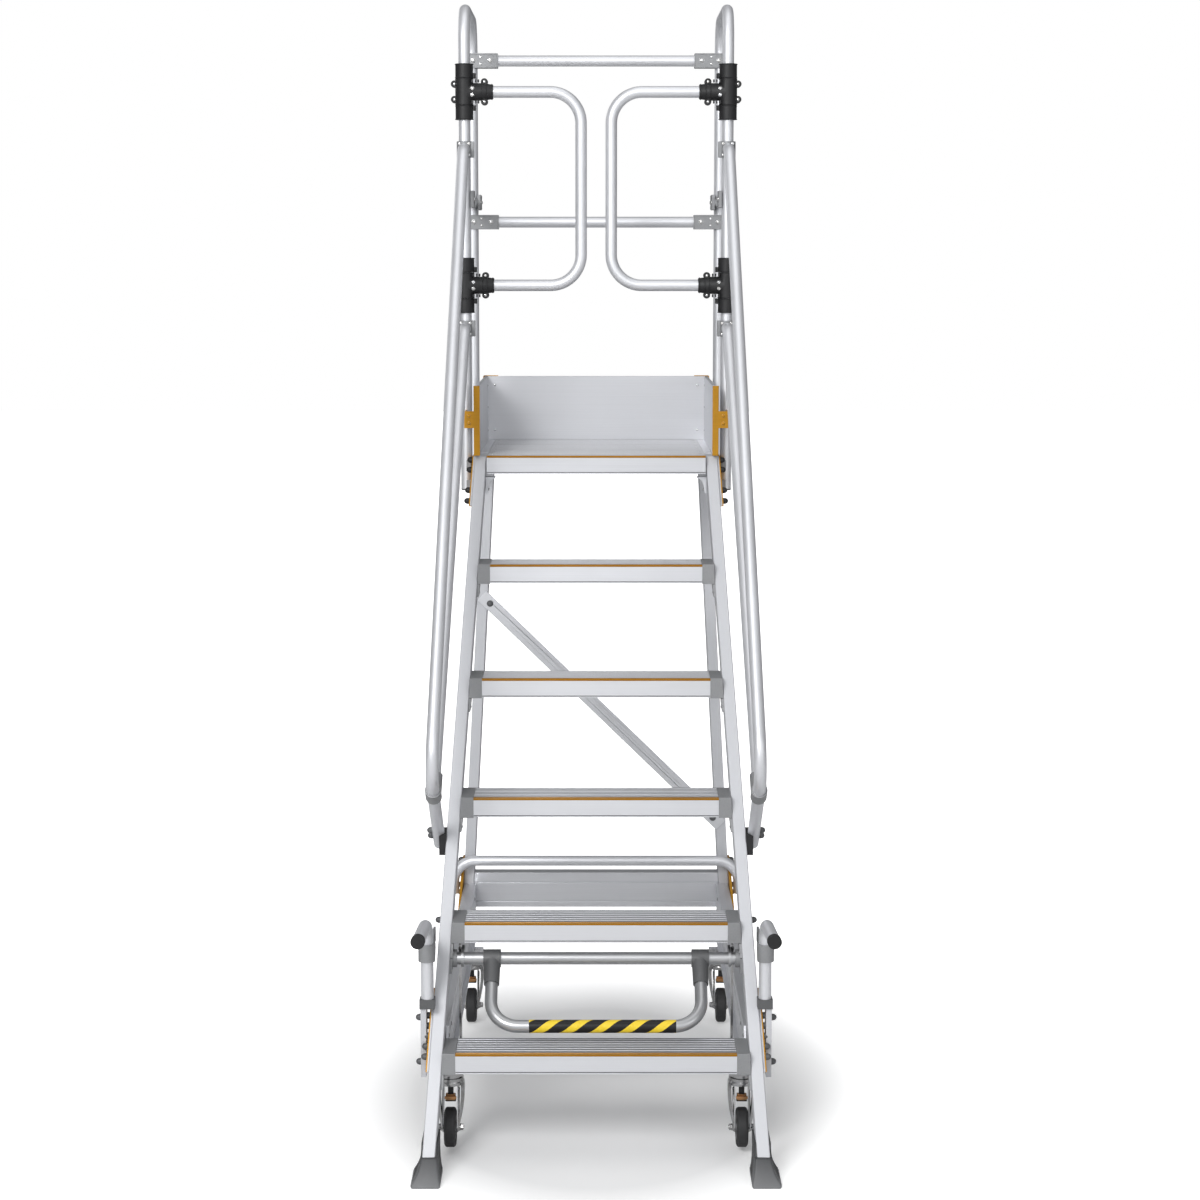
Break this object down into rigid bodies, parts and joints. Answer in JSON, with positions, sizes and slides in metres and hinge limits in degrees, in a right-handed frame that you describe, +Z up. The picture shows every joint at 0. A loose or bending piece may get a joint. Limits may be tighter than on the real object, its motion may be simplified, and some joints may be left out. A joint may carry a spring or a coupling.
{
  "type": "mobile ladder stand",
  "caption": "Wheeled aluminium ladder stand with inclined ribbed treads, a guarded platform with swing gates, hand rails and a foot bar that lowers the front castors.",
  "frame": {"origin": "centre of the bounding box's underside, on the floor", "axes": "+Z up, -Y towards the climber, +X to the climber's right"},
  "size_m": [0.911, 1.855, 2.938],
  "materials": {
    "aluminium": "satin",
    "black_plastic": "satin",
    "casting": "matt cast",
    "chrome": "bright",
    "foot_rubber": "matt",
    "grip_strip": "satin",
    "hazard_tape": "satin",
    "orange_plate": "satin",
    "orange_trim": "satin",
    "toe_board": "satin",
    "tyre": "matt",
    "wheel_hub": "satin"
  },
  "bodies": {
    "base": {"stile_left": "aluminium", "stile_right": "aluminium", "rear_leg_left": "aluminium", "rear_leg_right": "aluminium", "step_1": "aluminium", "step_2": "aluminium", "step_3": "aluminium", "step_4": "aluminium", "step_5": "aluminium", "step_brackets": "casting", "nosing_strips": "grip_strip", "platform_deck": "aluminium", "platform_frame": "aluminium", "toe_board_left": "toe_board", "toe_board_right": "toe_board", "toe_board_rear": "toe_board", "toe_board_trims": "orange_trim", "gusset_plates": "orange_plate", "diagonal_brace": "aluminium", "base_beam_left": "aluminium", "base_beam_right": "aluminium", "back_beam": "aluminium", "back_handle": "aluminium", "guard_loop_left": "aluminium", "guard_loop_right": "aluminium", "guard_rails": "aluminium", "rail_clamps": "casting", "handrail_left": "aluminium", "handrail_right": "aluminium", "mid_handrails": "aluminium", "joint_castings": "casting", "rubber_feet": "foot_rubber", "side_handles": "aluminium", "handle_caps": "black_plastic", "cap_bolts": "black_plastic", "hinge_sleeves": "black_plastic", "shaft_flanges": "casting", "castor_mounts": "casting"},
    "gate_left_body": {"gate_left": "aluminium", "gate_hubs_left": "black_plastic"},
    "gate_right_body": {"gate_right": "aluminium", "gate_hubs_right": "black_plastic"},
    "foot_bar_body": {"lock_shaft": "aluminium", "foot_bar": "aluminium", "bar_sockets": "casting", "hazard_tape": "hazard_tape"},
    "carrier_left": {"castor_carrier_left": "casting"},
    "carrier_right": {"castor_carrier_right": "casting"},
    "swivel_front_left": {"fork_front_left": "chrome"},
    "wheel_front_left": {"tyre_front_left": "tyre", "hub_front_left": "wheel_hub"},
    "swivel_front_right": {"fork_front_right": "chrome"},
    "wheel_front_right": {"tyre_front_right": "tyre", "hub_front_right": "wheel_hub"},
    "swivel_rear_left": {"fork_rear_left": "chrome"},
    "wheel_rear_left": {"tyre_rear_left": "tyre", "hub_rear_left": "wheel_hub"},
    "swivel_rear_right": {"fork_rear_right": "chrome"},
    "wheel_rear_right": {"tyre_rear_right": "tyre", "hub_rear_right": "wheel_hub"}
  },
  "joints": [
    {"name": "gate_left_swing", "type": "hinge", "parent": "base", "child": "gate_left_body", "pos_m": [-0.365, 0.3035, 2.4275], "axis": [0, 0, 1], "range_deg": [0, 82], "stiffness_Nm_per_rad": 0.6, "springref_deg": -17.19},
    {"name": "gate_right_swing", "type": "hinge", "parent": "base", "child": "gate_right_body", "pos_m": [0.365, 0.3035, 2.4275], "axis": [0, 0, -1], "range_deg": [0, 82], "stiffness_Nm_per_rad": 0.6, "springref_deg": -17.19},
    {"name": "foot_bar_lift", "type": "hinge", "parent": "base", "child": "foot_bar_body", "pos_m": [0, -0.5465, 0.468], "axis": [-1, 0, 0], "range_deg": [0, 35]},
    {"name": "carrier_left_drop", "type": "slide", "parent": "base", "child": "carrier_left", "axis": [0, 0, -1], "range_m": [0, 0.0265]},
    {"name": "carrier_right_drop", "type": "slide", "parent": "base", "child": "carrier_right", "axis": [0, 0, -1], "range_m": [0, 0.0265]},
    {"name": "swivel_front_left_turn", "type": "hinge", "parent": "carrier_left", "child": "swivel_front_left", "pos_m": [-0.368, -0.6265, 0.15], "axis": [0, 0, 1], "continuous": true},
    {"name": "swivel_front_right_turn", "type": "hinge", "parent": "carrier_right", "child": "swivel_front_right", "pos_m": [0.368, -0.6265, 0.15], "axis": [0, 0, 1], "continuous": true},
    {"name": "swivel_rear_left_turn", "type": "hinge", "parent": "base", "child": "swivel_rear_left", "pos_m": [-0.368, 0.4555, 0.15], "axis": [0, 0, 1], "continuous": true},
    {"name": "swivel_rear_right_turn", "type": "hinge", "parent": "base", "child": "swivel_rear_right", "pos_m": [0.368, 0.4555, 0.15], "axis": [0, 0, 1], "continuous": true},
    {"name": "wheel_front_left_spin", "type": "hinge", "parent": "swivel_front_left", "child": "wheel_front_left", "pos_m": [-0.368, -0.6615, 0.062], "axis": [1, 0, 0], "continuous": true},
    {"name": "wheel_front_right_spin", "type": "hinge", "parent": "swivel_front_right", "child": "wheel_front_right", "pos_m": [0.368, -0.6615, 0.062], "axis": [1, 0, 0], "continuous": true},
    {"name": "wheel_rear_left_spin", "type": "hinge", "parent": "swivel_rear_left", "child": "wheel_rear_left", "pos_m": [-0.368, 0.4205, 0.05], "axis": [1, 0, 0], "continuous": true},
    {"name": "wheel_rear_right_spin", "type": "hinge", "parent": "swivel_rear_right", "child": "wheel_rear_right", "pos_m": [0.368, 0.4205, 0.05], "axis": [1, 0, 0], "continuous": true}
  ],
  "couplings": [
    {"joint": "carrier_left_drop", "follows": "foot_bar_lift", "m_per_rad": 0.0433},
    {"joint": "carrier_right_drop", "follows": "foot_bar_lift", "m_per_rad": 0.0433}
  ]
}
